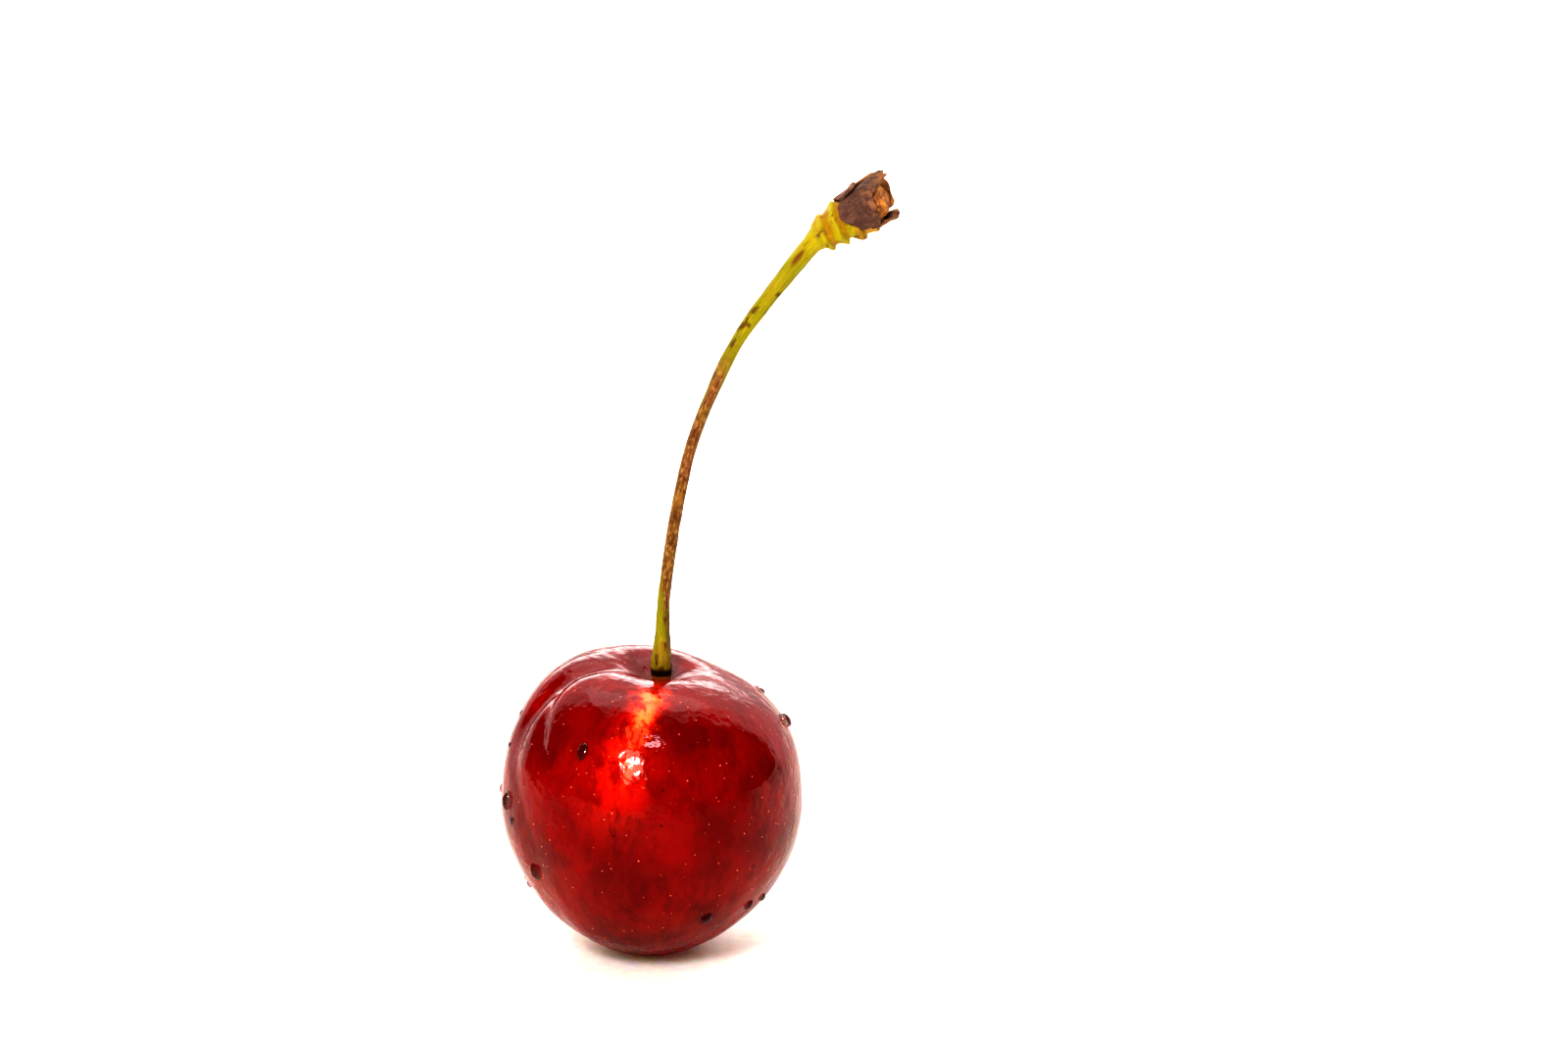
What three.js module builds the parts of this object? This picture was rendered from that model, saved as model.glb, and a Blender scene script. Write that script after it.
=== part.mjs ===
// A sweet cherry on its stalk, standing on the blunt end of the fruit.
// Millimetres, +Z up. The origin is the middle of the small flat that the fruit rests on,
// +X is the side that the stalk bends towards and -Y is the front.

import * as THREE from 'three';

const degrees = THREE.MathUtils.degToRad;
const ramp = THREE.MathUtils.smoothstep;
const ACROSS = new THREE.Vector3(0, 1, 0);
const GAP = 0.3; // clearance between pieces that touch on the real fruit

// --- Fruit ---------------------------------------------------------------

const FRUIT = {
  halfWidth: 12.5, // along X
  halfDepth: 13.3, // along Y
  top: 12.95, // centre to the undented top
  topFullness: 2.38, // superellipse power of the upper half: over 2 is fuller than an ellipse
  bottom: 13.1,
  bottomFullness: 1.84,
  centreHeight: 12.75, // less than the bottom, so the blunt end is cut flat by the surface
  lean: degrees(2.5), // the top leans towards +X
  segmentsRound: 52,
  segmentsDown: 34,
};

const STALK_CAVITY = { depth: 3.0, spread: degrees(16.5) };

// Broad hollows of the shoulders. polar is measured from the stalk end and turn from +X.
const SHOULDER_HOLLOWS = [
  { depth: 1.4, polar: degrees(31), spread: degrees(20), turn: degrees(8), width: 2.5 },
  { depth: 0.45, polar: degrees(24), spread: degrees(13), turn: degrees(250), width: 6 },
];

// The fold that runs from the stalk cavity down the left side.
const FOLD = {
  depth: 0.8,
  halfWidth: 1.4,
  turnAtTop: degrees(196),
  turnAtSide: degrees(222),
  turnsBetween: [degrees(55), degrees(100)],
  opensBetween: [degrees(8), degrees(28)],
  fadesBetween: [degrees(48), degrees(80)],
  depthLeft: 0.15, // share of the depth that is left past the fade
};

// Distance from the fruit's centre to its skin in a given direction.
function fruitRadius(polar, turn) {
  const half = 1 / Math.hypot(Math.cos(turn) / FRUIT.halfWidth, Math.sin(turn) / FRUIT.halfDepth);
  const upper = polar < Math.PI / 2;
  const power = upper ? FRUIT.topFullness : FRUIT.bottomFullness;
  const end = upper ? FRUIT.top : FRUIT.bottom;
  const outward = Math.abs(Math.sin(polar) / half) ** power;
  const upward = Math.abs(Math.cos(polar) / end) ** power;
  let radius = (outward + upward) ** (-1 / power);

  radius -= STALK_CAVITY.depth * Math.exp(-((polar / STALK_CAVITY.spread) ** 2));
  for (const hollow of SHOULDER_HOLLOWS) {
    const down = Math.exp(-(((polar - hollow.polar) / hollow.spread) ** 2));
    const round = (0.5 + 0.5 * Math.cos(turn - hollow.turn)) ** hollow.width;
    radius -= hollow.depth * down * round;
  }

  const swing = (FOLD.turnAtSide - FOLD.turnAtTop) * ramp(polar, ...FOLD.turnsBetween);
  const offTurn = turn - FOLD.turnAtTop - swing;
  const off = Math.atan2(Math.sin(offTurn), Math.cos(offTurn));
  const offLine = off * Math.sin(polar) * FRUIT.halfWidth;
  const fade = 1 - (1 - FOLD.depthLeft) * ramp(polar, ...FOLD.fadesBetween);
  const depth = FOLD.depth * ramp(polar, ...FOLD.opensBetween) * fade;
  return radius - depth * Math.exp(-((offLine / FOLD.halfWidth) ** 2));
}

// A unit direction, +Z towards the stalk end, to its point on the standing fruit.
function fruitPoint(direction) {
  const polar = Math.acos(THREE.MathUtils.clamp(direction.z, -1, 1));
  const turn = Math.atan2(direction.y, direction.x);
  const point = direction.clone().multiplyScalar(fruitRadius(polar, turn));
  point.applyAxisAngle(ACROSS, FRUIT.lean);
  point.z = Math.max(0, point.z + FRUIT.centreHeight);
  return point;
}

function makeFruit() {
  const geometry = new THREE.SphereGeometry(1, FRUIT.segmentsRound, FRUIT.segmentsDown);
  geometry.rotateX(Math.PI / 2);
  return moveEachVertex(geometry, fruitPoint);
}

// --- Stalk ---------------------------------------------------------------

// Its centre line, from the floor of the cavity to the broken end.
const STALK_LINE = new THREE.CatmullRomCurve3([
  new THREE.Vector3(0.85, 0.0, 23.05),
  new THREE.Vector3(1.0, -0.15, 27.2),
  new THREE.Vector3(1.2, -0.3, 30.4),
  new THREE.Vector3(2.1, -0.65, 36.8),
  new THREE.Vector3(3.4, -1.05, 42.8),
  new THREE.Vector3(5.3, -1.4, 47.9),
  new THREE.Vector3(7.5, -1.7, 52.3),
  new THREE.Vector3(10.3, -2.05, 56.2),
  new THREE.Vector3(13.4, -2.4, 60.1),
  new THREE.Vector3(14.95, -2.55, 61.4),
  new THREE.Vector3(16.6, -2.7, 62.55),
  new THREE.Vector3(19.55, -3.0, 64.5),
]);

const STALK_LENGTH = 44;

// Distance along the stalk and radius there: a collar on the fruit, a slim shank that
// thickens towards the twig, and a knuckle of three stepped rings.
const STALK_PROFILE = [
  [0.0, 0.0],
  [0.0, 0.7],
  [0.35, 0.8],
  [1.6, 0.88],
  [3.0, 0.74],
  [4.5, 0.6],
  [7.0, 0.51],
  [12.0, 0.48],
  [24.0, 0.49],
  [29.0, 0.54],
  [33.0, 0.6],
  [36.5, 0.68],
  [38.6, 0.78],
  [40.2, 0.94],
  [40.8, 1.2],
  [41.2, 1.62],
  [41.5, 1.6],
  [41.8, 1.38],
  [42.4, 1.7],
  [42.75, 1.68],
  [43.0, 1.48],
  [43.6, 1.8],
  [43.9, 1.76],
  [STALK_LENGTH, 0.0],
];

const STALK_SIDES = 12;
const LONGEST_STEP = 1.2; // along the stalk, so that the shank bends smoothly

// Extra profile points on every stretch that is longer than the longest step.
function dividedProfile(profile) {
  const points = [new THREE.Vector2(profile[0][1], profile[0][0])];
  for (let i = 1; i < profile.length; i += 1) {
    const [startLength, startRadius] = profile[i - 1];
    const [endLength, endRadius] = profile[i];
    const steps = Math.max(1, Math.ceil((endLength - startLength) / LONGEST_STEP));
    for (let step = 1; step <= steps; step += 1) {
      const share = step / steps;
      const radius = THREE.MathUtils.lerp(startRadius, endRadius, share);
      points.push(new THREE.Vector2(radius, THREE.MathUtils.lerp(startLength, endLength, share)));
    }
  }
  return points;
}

// A point beside the stalk's line: distance along it, distance out from it, and the angle round
// it from the upper side of the bend (0) by way of the front (a quarter turn).
function besideStalk(along, out, angle) {
  const share = THREE.MathUtils.clamp(along / STALK_LINE.getLength(), 0, 1);
  const tangent = STALK_LINE.getTangentAt(share);
  const upperSide = new THREE.Vector3().crossVectors(tangent, ACROSS).normalize();
  const front = new THREE.Vector3().crossVectors(tangent, upperSide).normalize();
  return STALK_LINE.getPointAt(share)
    .addScaledVector(upperSide, out * Math.cos(angle))
    .addScaledVector(front, out * Math.sin(angle));
}

// Bends a shape that is turned about the Y axis, base at Y = 0, along the stalk's line.
function bendAlongStalk(geometry) {
  return moveEachVertex(geometry, ({ x, y, z }) =>
    besideStalk(y, Math.hypot(x, z), Math.atan2(x, z)));
}

function makeStalk() {
  return bendAlongStalk(new THREE.LatheGeometry(dividedProfile(STALK_PROFILE), STALK_SIDES));
}

// --- Broken end and its dry scales ---------------------------------------

const BREAK = STALK_LENGTH + GAP; // where the old wood starts

// The corky plug of old wood that came away from the twig with the stalk: distance along the
// stalk's line and radius there.
const CORK_PROFILE = [
  [BREAK, 0.0],
  [BREAK, 1.1],
  [45.0, 1.35],
  [46.0, 1.3],
  [46.6, 0.9],
  [46.4, 0.0],
];
const CORK_SIDES = 9;

function makeCorkyEnd() {
  return bendAlongStalk(new THREE.LatheGeometry(dividedProfile(CORK_PROFILE), CORK_SIDES));
}

const SCALE_BASE = 1.35 + GAP; // from the stalk's line to a scale's inner face, where it starts

// Dry bud scales round the plug. angle is round the stalk, end is along it, tip is the distance
// from its line to the scale's inner face at the end, and half is the scale's half width.
const SCALES = [
  { angle: degrees(352), end: 45.4, tip: 1.95, half: degrees(19) },
  { angle: degrees(44), end: 47.5, tip: 1.65, half: degrees(22) },
  { angle: degrees(102), end: 46.4, tip: 1.8, half: degrees(25) },
  { angle: degrees(159), end: 45.3, tip: 2.1, half: degrees(21) },
  { angle: degrees(212), end: 47.0, tip: 2.1, half: degrees(21) },
  { angle: degrees(283), end: 47.7, tip: 1.75, half: degrees(39) },
];
const SCALE_THICKNESS = 0.32;
const SCALE_TIP_SHARE = 0.4; // tip width as a share of the full width
const SCALE_STEPS = { across: 4, along: 5 };

// A plate bent round the stalk's line and drawn in towards its far end.
function makeScale(scale) {
  const plate = new THREE.BoxGeometry(2, 1, 1, SCALE_STEPS.across, SCALE_STEPS.along, 1);
  return moveEachVertex(plate, ({ x, y, z }) => {
    const share = y + 0.5;
    const narrowing = THREE.MathUtils.lerp(1, SCALE_TIP_SHARE, share ** 3);
    const inner = THREE.MathUtils.lerp(SCALE_BASE, scale.tip, share);
    const along = THREE.MathUtils.lerp(BREAK, scale.end, share);
    const angle = scale.angle + x * scale.half * narrowing;
    return besideStalk(along, inner + (z + 0.5) * SCALE_THICKNESS, angle);
  });
}

// --- Assembly ------------------------------------------------------------

const COLOURS = {
  skin: { color: 0x8f0a0c, roughness: 0.16, metalness: 0 },
  stalk: { color: 0x9c8a24, roughness: 0.6, metalness: 0 },
  cork: { color: 0x6b4432, roughness: 0.9, metalness: 0 },
  scale: { color: 0x7d4d33, roughness: 0.85, metalness: 0 },
};

function moveEachVertex(geometry, move) {
  const position = geometry.getAttribute('position');
  const vertex = new THREE.Vector3();
  for (let i = 0; i < position.count; i += 1) {
    vertex.fromBufferAttribute(position, i);
    const moved = move(vertex);
    position.setXYZ(i, moved.x, moved.y, moved.z);
  }
  geometry.computeVertexNormals();
  return geometry;
}

function makePiece(name, geometry, look) {
  const piece = new THREE.Mesh(geometry, new THREE.MeshStandardMaterial(look));
  piece.name = name;
  return piece;
}

const cherry = new THREE.Group();
cherry.add(makePiece('fruit', makeFruit(), COLOURS.skin));
cherry.add(makePiece('stalk', makeStalk(), COLOURS.stalk));
cherry.add(makePiece('corky_end', makeCorkyEnd(), COLOURS.cork));
SCALES.forEach((scale, index) => {
  cherry.add(makePiece(`bud_scale_${index + 1}`, makeScale(scale), COLOURS.scale));
});

export default cherry;
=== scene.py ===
# A ripe sweet cherry on its stalk, wet with a few drops of water. Forms are worked out in
# millimetres and scaled to metres as each piece is finished. +Z is up and -Y is the front.
import bisect
import math
import random
from typing import NamedTuple

import bmesh
import bpy
from mathutils import Matrix, Vector, noise


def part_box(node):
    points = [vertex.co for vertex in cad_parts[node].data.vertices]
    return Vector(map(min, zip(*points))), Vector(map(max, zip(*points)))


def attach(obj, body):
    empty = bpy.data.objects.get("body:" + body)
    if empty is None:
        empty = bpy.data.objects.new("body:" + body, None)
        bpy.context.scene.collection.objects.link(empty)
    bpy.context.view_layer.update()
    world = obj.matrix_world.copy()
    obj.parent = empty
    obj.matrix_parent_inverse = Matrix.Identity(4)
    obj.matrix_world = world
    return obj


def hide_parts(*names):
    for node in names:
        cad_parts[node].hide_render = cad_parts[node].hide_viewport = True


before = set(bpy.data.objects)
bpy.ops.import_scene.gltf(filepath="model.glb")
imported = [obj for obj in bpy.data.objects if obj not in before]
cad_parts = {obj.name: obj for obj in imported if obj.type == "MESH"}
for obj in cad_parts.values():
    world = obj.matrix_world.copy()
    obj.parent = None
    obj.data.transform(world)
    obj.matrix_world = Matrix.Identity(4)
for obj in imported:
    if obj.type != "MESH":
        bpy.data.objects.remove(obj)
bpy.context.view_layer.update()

MM = 0.001
ACROSS = Vector((0, 1, 0))


def ramp(value, low, high):
    """0 below low, 1 above high and a smooth rise between them."""
    share = min(1, max(0, (value - low) / (high - low)))
    return share * share * (3 - 2 * share)


def lerp(start, end, share):
    """Start at a share of 0, end at 1 and the straight way between."""
    return start + (end - start) * share


def bell(offset, spread):
    """1 in the middle, falling smoothly to about a third at the spread."""
    return math.exp(-((offset / spread) ** 2))


def ripple(x, y, z=0):
    """Smooth noise at a point, from about -1 to 1."""
    return noise.noise(Vector((x, y, z)))


# --- Fruit form ------------------------------------------------------------

FRUIT_LOW, FRUIT_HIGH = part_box("fruit")
HALF_WIDTH = (FRUIT_HIGH.x - FRUIT_LOW.x) / 2 / MM
HALF_DEPTH = (FRUIT_HIGH.y - FRUIT_LOW.y) / 2 / MM
TOP = 12.95
TOP_FULLNESS = 2.38
BOTTOM = 13.1
BOTTOM_FULLNESS = 1.84
CENTRE_HEIGHT = 12.75
LEAN = math.radians(2.5)

# A pair of angles down from the stalk end says where a change starts and where it is done.
CAVITY_DEPTH = 3.0
CAVITY_SPREAD = math.radians(16.5)
PLEAT_HEIGHT = 0.04  # of the small folds in the cavity's wall
PLEATS_PER_RADIAN = 4
PLEATS_OPEN = (math.radians(3), math.radians(9))
PLEATS_FADE = (math.radians(18), math.radians(34))

# depth, angle down from the stalk end, spread, turn from +X and narrowness of each hollow
SHOULDER_HOLLOWS = [
    (1.4, math.radians(31), math.radians(20), math.radians(8), 2.5),
    (0.45, math.radians(24), math.radians(13), math.radians(250), 6),
]

FOLD_DEPTH = 0.8
FOLD_HALF_WIDTH = 1.4
FOLD_TURN_AT_TOP = math.radians(196)
FOLD_TURN_AT_SIDE = math.radians(222)
FOLD_SWINGS = (math.radians(55), math.radians(100))
FOLD_OPENS = (math.radians(8), math.radians(28))
FOLD_FADES = (math.radians(48), math.radians(80))
FOLD_DEPTH_LEFT = 0.15  # share of the depth that is left past the fade
FOLD_LINE_HALF_WIDTH = 0.16  # of the dark line in the fold's bottom
FOLD_LINE_FADES = (math.radians(115), math.radians(150))
SECOND_FURROW_DEPTH = 0.34
SECOND_FURROW_HALF_WIDTH = 0.8
SECOND_FURROW_BESIDE = (0.9, 5.2)  # from the fold's middle, at its top and bottom ends
SECOND_FURROW_SWINGS = (math.radians(34), math.radians(72))
SECOND_FURROW_OPENS = (math.radians(32), math.radians(44))
SECOND_FURROW_FADES = (math.radians(56), math.radians(74))

SCAR_DEPTH = 0.6  # of the small dent at the blunt end
SCAR_HALF_WIDTH = 0.6

# wavelength and height of the skin's own unevenness
SWELLS = [(7.0, 0.16), (2.6, 0.035), (1.1, 0.010)]
# streaks painted on the skin: the first two are a painted reflection of a warm light above the
# front highlight, the next two a painted glow of light round that highlight, the last two an unripe
# orange flush. Angle down from the stalk end, turn from +X, length, width and strength
FLUSHES_AND_PAINTED_LIGHT = [
    (33, 269.5, 6, 6.5, 0.75),
    (43, 265.5, 6, 4.2, 0.75),
    (58, 261, 12, 7.0, 0.30),
    (70, 257, 20, 16.0, 0.24),
    (40, 86, 12, 6.0, 0.5),
    (52, 40, 14, 5.0, 0.3),
]

EDGE_SOFTNESS = 0.05  # how far the resting flat is rounded into the skin
FRUIT_SUBDIVISIONS = 7
MERIDIAN_FINENESS = 6  # of the patterns that run from the stalk end down, round the fruit


def off_fold(polar, turn):
    """Distance along the skin from the middle of the fold, positive towards the front."""
    line = lerp(FOLD_TURN_AT_TOP, FOLD_TURN_AT_SIDE, ramp(polar, *FOLD_SWINGS))
    off = math.remainder(turn - line, 2 * math.pi)
    return off * math.sin(polar) * HALF_WIDTH


def fold_strength(polar):
    """The share of its full depth that the fold has, at an angle down from the stalk end."""
    return ramp(polar, *FOLD_OPENS) * (1 - (1 - FOLD_DEPTH_LEFT) * ramp(polar, *FOLD_FADES))


def fruit_radius(polar, turn):
    """Distance from the fruit's centre to its skin, before the skin's own detail."""
    half = 1 / math.hypot(math.cos(turn) / HALF_WIDTH, math.sin(turn) / HALF_DEPTH)
    upper = polar < math.pi / 2
    power = TOP_FULLNESS if upper else BOTTOM_FULLNESS
    end = TOP if upper else BOTTOM
    outward = abs(math.sin(polar) / half) ** power
    upward = abs(math.cos(polar) / end) ** power
    radius = (outward + upward) ** (-1 / power)
    radius -= CAVITY_DEPTH * bell(polar, CAVITY_SPREAD)
    for depth, down, spread, side, narrowness in SHOULDER_HOLLOWS:
        round_ = (0.5 + 0.5 * math.cos(turn - side)) ** narrowness
        radius -= depth * bell(polar - down, spread) * round_
    fold = bell(off_fold(polar, turn), FOLD_HALF_WIDTH)
    return radius - FOLD_DEPTH * fold_strength(polar) * fold


def skin_detail(direction, polar, turn):
    """What the skin adds to the plain form: a second furrow, folds in the cavity and swells."""
    added = 0
    for wavelength, height in SWELLS:
        added += height * noise.noise(direction * (HALF_WIDTH / wavelength) + ACROSS * wavelength)
    middle = lerp(*SECOND_FURROW_BESIDE, ramp(polar, *SECOND_FURROW_SWINGS))
    furrow = bell(off_fold(polar, turn) - middle, SECOND_FURROW_HALF_WIDTH)
    reach = ramp(polar, *SECOND_FURROW_OPENS) * (1 - ramp(polar, *SECOND_FURROW_FADES))
    added -= SECOND_FURROW_DEPTH * reach * furrow
    near_stalk = ramp(polar, *PLEATS_OPEN) * (1 - ramp(polar, *PLEATS_FADE))
    pleat = ripple(math.cos(turn) * PLEATS_PER_RADIAN, math.sin(turn) * PLEATS_PER_RADIAN, polar)
    added += PLEAT_HEIGHT * near_stalk * pleat
    return added - SCAR_DEPTH * bell((math.pi - polar) * BOTTOM, SCAR_HALF_WIDTH)


def flush_and_painted_light_strength(polar, turn):
    """How strongly the skin is painted by its streaks together: the painted reflection and painted
    glow of light round the front highlight, and the unripe flush.
    """
    strength = 0
    for down, side, long, wide, most in FLUSHES_AND_PAINTED_LIGHT:
        off_turn = math.remainder(turn - math.radians(side), 2 * math.pi) * math.sin(polar)
        off_down = polar - math.radians(down)
        strength += most * bell(off_down, math.radians(long)) * bell(off_turn, math.radians(wide))
    return min(1, strength)


def skin_point(direction):
    """The skin's point in a direction from the centre, with the resting flat softened in."""
    polar = math.acos(min(1, max(-1, direction.z)))
    turn = math.atan2(direction.y, direction.x)
    radius = fruit_radius(polar, turn) + skin_detail(direction, polar, turn)
    point = Matrix.Rotation(LEAN, 3, "Y") @ (direction * radius)
    height = point.z + CENTRE_HEIGHT
    point.z = 0.5 * (height + math.hypot(height, EDGE_SOFTNESS))
    return point


# --- Stalk form ------------------------------------------------------------

STALK_POINTS = [
    (0.85, 0.0, 23.05),
    (1.0, -0.15, 27.2),
    (1.2, -0.3, 30.4),
    (2.1, -0.65, 36.8),
    (3.4, -1.05, 42.8),
    (5.3, -1.4, 47.9),
    (7.5, -1.7, 52.3),
    (10.3, -2.05, 56.2),
    (13.4, -2.4, 60.1),
    (14.95, -2.55, 61.4),
    (16.6, -2.7, 62.55),
    (19.55, -3.0, 64.5),
]
LINE_STEPS = 40  # on each stretch between two of the points


def smooth_line(points, steps):
    """A centripetal line through the points, with the distance along it at each step."""
    points = [Vector(p) for p in points]
    points = [2 * points[0] - points[1], *points, 2 * points[-1] - points[-2]]
    line = []
    for before, start, end, after in zip(points, points[1:], points[2:], points[3:]):
        gap_in = (start - before).length ** 0.5
        gap = (end - start).length ** 0.5
        gap_out = (after - end).length ** 0.5
        leave = (start - before) / gap_in - (end - before) / (gap_in + gap) + (end - start) / gap
        arrive = (end - start) / gap - (after - start) / (gap + gap_out) + (after - end) / gap_out
        leave *= gap
        arrive *= gap
        for step in range(steps):
            t = step / steps
            square = -3 * start + 3 * end - 2 * leave - arrive
            cube = 2 * start - 2 * end + leave + arrive
            line.append(start + leave * t + square * t**2 + cube * t**3)
    line.append(points[-2])
    lengths = [0.0]
    for start, end in zip(line, line[1:]):
        lengths.append(lengths[-1] + (end - start).length)
    return line, lengths


LINE, LENGTHS = smooth_line(STALK_POINTS, LINE_STEPS)


def beside_stalk(along, out, angle):
    """A point beside the stalk's line: distance along, distance out and the angle round it,
    from the upper side of the bend by way of the front."""
    i = min(len(LINE) - 2, max(0, bisect.bisect_right(LENGTHS, along) - 1))
    share = (along - LENGTHS[i]) / (LENGTHS[i + 1] - LENGTHS[i])
    tangent = (LINE[min(i + 2, len(LINE) - 1)] - LINE[max(i - 1, 0)]).normalized()
    upper_side = tangent.cross(ACROSS).normalized()
    front = tangent.cross(upper_side)
    centre = LINE[i].lerp(LINE[i + 1], share)
    return centre + upper_side * (out * math.cos(angle)) + front * (out * math.sin(angle))


STALK_START = -0.35  # below the solid's foot, so that the collar sits in the skin
STALK_END = 45.1
STALK_PROFILE = [
    (-0.35, 0.66),
    (0.05, 0.76),
    (0.5, 0.86),
    (1.6, 0.88),
    (3.0, 0.74),
    (4.5, 0.6),
    (7.0, 0.51),
    (12.0, 0.48),
    (24.0, 0.49),
    (29.0, 0.54),
    (33.0, 0.6),
    (36.5, 0.68),
    (38.6, 0.75),
    (39.9, 0.8),
    (40.6, 0.95),
    (41.1, 1.26),
    (41.6, 1.34),
    (42.6, 1.4),
    (43.6, 1.52),
    (44.4, 1.55),
    (45.1, 1.3),
]
STALK_SIDES = 56
STALK_RINGS = 460


class Ring(NamedTuple):
    """A stepped ring of the knuckle: it flares from the fruit's side and drops off sharply."""

    along: float
    height: float  # on the lower side of the bend
    upper: float  # on the upper side
    flare: float
    drop: float


KNUCKLE_RINGS = [
    Ring(41.45, 0.46, 0.28, 0.45, 0.20),
    Ring(42.75, 0.48, 0.34, 0.50, 0.20),
    Ring(44.2, 0.80, -0.30, 0.70, 0.35),
]
RING_TILT = 0.32  # how much farther along a ring stands on the upper side of the bend
RING_WAVER = 0.26  # how far a ring wanders along the stalk
RING_RAGGEDNESS = 0.55  # how much its height varies, as a share


def profile_radius(along):
    """The stalk's smooth radius, eased from one profile point to the next."""
    i = bisect.bisect_right([p[0] for p in STALK_PROFILE], along) - 1
    i = min(len(STALK_PROFILE) - 2, max(0, i))
    (start, start_radius), (end, end_radius) = STALK_PROFILE[i], STALK_PROFILE[i + 1]
    return lerp(start_radius, end_radius, ramp(along, start, end))


def ring_rise(along, angle):
    """How far the knuckle's uneven rings stand out here."""
    side = Vector((math.cos(angle), math.sin(angle), 0))
    lower_side = 0.5 - 0.5 * math.cos(angle)
    rise = 0
    for ring in KNUCKLE_RINGS:
        waver = RING_WAVER * ripple(side.x * 1.4, side.y * 1.4, ring.along)
        off = along - ring.along - RING_TILT * math.cos(angle) - waver
        spread = ring.flare if off < 0 else ring.drop
        ragged = 0.9 + RING_RAGGEDNESS * ripple(side.x * 2.6, side.y * 2.6, ring.along + 3)
        height = max(0, lerp(ring.upper, ring.height, lower_side))
        rise += height * ragged * bell(off, spread)
    return rise


def stalk_radius(along, angle):
    """The stalk's radius with its fibres, lumps and the knuckle's uneven rings."""
    radius = profile_radius(along)
    side = Vector((math.cos(angle), math.sin(angle), 0))
    bends = 0.09 * ripple(side.x, side.y, along * 0.22)
    knots = 0.06 * ripple(side.x * 1.5, side.y * 1.5, along * 0.8 + 3)
    fibres = 0.035 * ripple(side.x * 4, side.y * 4, along * 0.12 + 7)
    return radius * (1 + bends + knots) + fibres + ring_rise(along, angle)


# --- Broken end forms --------------------------------------------------------

class Scale(NamedTuple):
    """A dry scale. Angles in degrees from the upper side of the bend by way of the front."""

    angle: float
    half: float  # half the angle it covers
    start: float  # along the stalk
    end: float
    base: float  # out from the stalk's line at its start
    tip: float  # and at its end
    slant: float  # how much farther its end reaches on its far edge
    narrowing: float  # share of the width lost at the end
    flare: float  # how far its corners curl out
    twist: float = 0  # how far its middle turns on its way to the end


SCALES = {
    "bud_scale_1": Scale(-9, 42, 43.6, 45.5, 1.66, 1.94, 0.15, 0.25, 0.04),
    "bud_scale_2": Scale(38, 48, 43.9, 48.2, 1.60, 1.78, -0.10, 0.58, 0.06, -9),
    "bud_scale_3": Scale(79, 50, 43.6, 46.35, 1.80, 1.84, -0.60, -0.12, 0.10, 15),
    "bud_scale_4": Scale(166, 42, 43.5, 45.2, 1.74, 2.15, 0.0, 0.15, 0.0),
    "bud_scale_5": Scale(182, 36, 43.8, 46.7, 1.58, 2.12, 1.0, 0.0, 0.14),
    "bud_scale_6": Scale(280, 64, 43.5, 47.6, 1.66, 1.76, 0.15, 0.08, 0.05),
}
SCALE_GRID = 30
SCALE_THICKNESS = 0.2
SCALE_SEED_STEP = 7.3  # from one scale's noise to the next one's
CORK_START = 43.8
CORK_END = 46.95
CORK_SLOPE = 0.7  # how much farther the torn face reaches on its far side
CORK_FAR_SIDE = math.radians(310)
CORK_RADIUS = 1.55
CORK_MOUTH = (45.3, 46.4)  # along the stalk, where the plug widens into the mouth of the scales
CORK_MOUTH_SIDE = math.radians(205)
CORK_MOUTH_WIDENING = 0.35
CORK_LUMPS = [(2.2, 0.10), (6, 0.07), (15, 0.04)]  # fineness and height as a share of its size
CORK_SUBDIVISIONS = 6


# --- Shader helpers ----------------------------------------------------------


def new_material(name):
    """A material whose node tree is empty."""
    material = bpy.data.materials.new(name)
    material.use_nodes = True
    material.node_tree.nodes.clear()
    return material


def feed(tree, socket, value):
    """Links an input from another socket, or sets it to a constant."""
    if isinstance(value, bpy.types.NodeSocket):
        tree.links.new(value, socket)
    elif socket.type == "RGBA" and len(value) == 3:
        socket.default_value = (*value, 1)
    else:
        socket.default_value = value


def add(tree, kind, settings=None, **inputs):
    """Adds a node. Its inputs are sockets or constants, their names in lower case."""
    node = tree.nodes.new(kind)
    for name, value in (settings or {}).items():
        setattr(node, name, value)
    for name, value in inputs.items():
        wanted = name.replace("_", " ").lower()
        socket = next(s for s in node.inputs if s.enabled and s.name.lower() == wanted)
        feed(tree, socket, value)
    return node


def maths(tree, operation, *values):
    """A Math node on sockets or constants, giving its result."""
    node = tree.nodes.new("ShaderNodeMath")
    node.operation = operation
    for socket, value in zip(node.inputs, values):
        feed(tree, socket, value)
    return node.outputs[0]


def vector_maths(tree, operation, first, second):
    """A Vector Math node on two sockets or constants."""
    node = tree.nodes.new("ShaderNodeVectorMath")
    node.operation = operation
    feed(tree, node.inputs[0], first)
    feed(tree, node.inputs[1], second)
    return node


def blend(tree, share, first, second):
    """A colour that goes from first to second as share goes from 0 to 1."""
    node = add(tree, "ShaderNodeMix", {"data_type": "RGBA"}, factor=share, a=first, b=second)
    return next(s for s in node.outputs if s.enabled)


def tint(tree, mask, most, colour, over):
    """Lays a colour over another, as strong as the mask times the most it may cover."""
    return blend(tree, maths(tree, "MULTIPLY", mask, most), over, colour)


def span(tree, value, low, high, to_low=0.0, to_high=1.0):
    """Maps low..high of a value to to_low..to_high, smoothly and within them."""
    node = add(tree, "ShaderNodeMapRange", {"interpolation_type": "SMOOTHSTEP"}, value=value,
               from_min=low, from_max=high, to_min=to_low, to_max=to_high)
    return node.outputs["Result"]


def stretched(tree, vector, scale):
    """A vector multiplied by a scale for each axis."""
    return vector_maths(tree, "MULTIPLY", vector, scale).outputs[0]


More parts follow.
